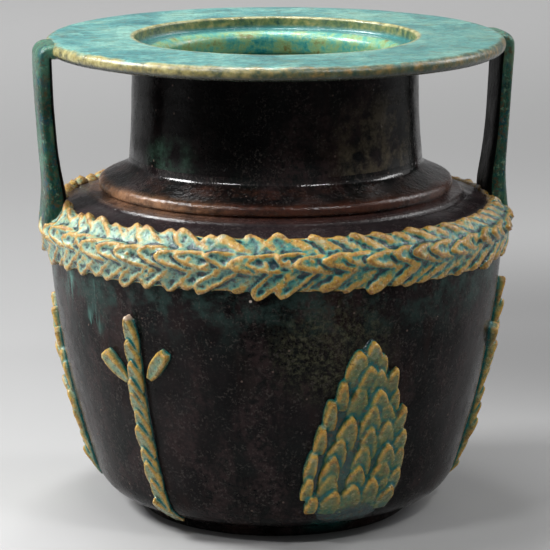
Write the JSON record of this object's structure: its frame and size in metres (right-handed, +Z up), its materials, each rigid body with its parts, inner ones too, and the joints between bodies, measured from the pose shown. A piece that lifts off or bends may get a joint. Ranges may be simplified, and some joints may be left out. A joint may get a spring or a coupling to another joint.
{
  "type": "two-handled jar",
  "caption": "Wide glazed jar with a flat collar rim, upright strap handles, a leafy garland round the shoulder and scaly relief stalks and cones on the wall.",
  "frame": {"origin": "middle of the foot's resting face", "axes": "+Z up along the jar's axis, out of the mouth; the handles stand on the -X and +X sides; -Y is the side between the front stalk and the front cone"},
  "size_m": [0.2342, 0.2342, 0.2305],
  "materials": {
    "body_glaze": "glossy, dark manganese purple",
    "neck_glaze": "glossy, near black",
    "rim_glaze": "glossy, turquoise with ochre edges",
    "handle_glaze": "glossy, teal green outside and near black inside",
    "garland_glaze": "glossy, turquoise pooled between ochre leaf edges",
    "relief_bed_glaze": "glossy, dark teal",
    "relief_scale_glaze": "glossy, olive with ochre edges"
  },
  "bodies": {
    "root": {"foot_ring": "body_glaze", "bowl": "body_glaze", "shoulder": "body_glaze", "neck": "neck_glaze", "rim": "rim_glaze", "lid_seat": "rim_glaze", "garland_band": "garland_glaze", "garland_upper_leaves": "garland_glaze", "garland_middle_leaves": "garland_glaze", "garland_lower_leaves": "garland_glaze", "handle_left": "handle_glaze", "handle_right": "handle_glaze", "cone_front_bed": "relief_bed_glaze", "cone_front_scales": "relief_scale_glaze", "cone_back_bed": "relief_bed_glaze", "cone_back_scales": "relief_scale_glaze", "cone_left_bed": "relief_bed_glaze", "cone_left_scales": "relief_scale_glaze", "stalk_front_stem": "relief_bed_glaze", "stalk_front_scales": "relief_scale_glaze", "stalk_front_twigs": "relief_scale_glaze", "stalk_right_stem": "relief_bed_glaze", "stalk_right_scales": "relief_scale_glaze", "stalk_right_twigs": "relief_scale_glaze", "stalk_back_stem": "relief_bed_glaze", "stalk_back_scales": "relief_scale_glaze", "stalk_back_twigs": "relief_scale_glaze"}
  },
  "joints": []
}
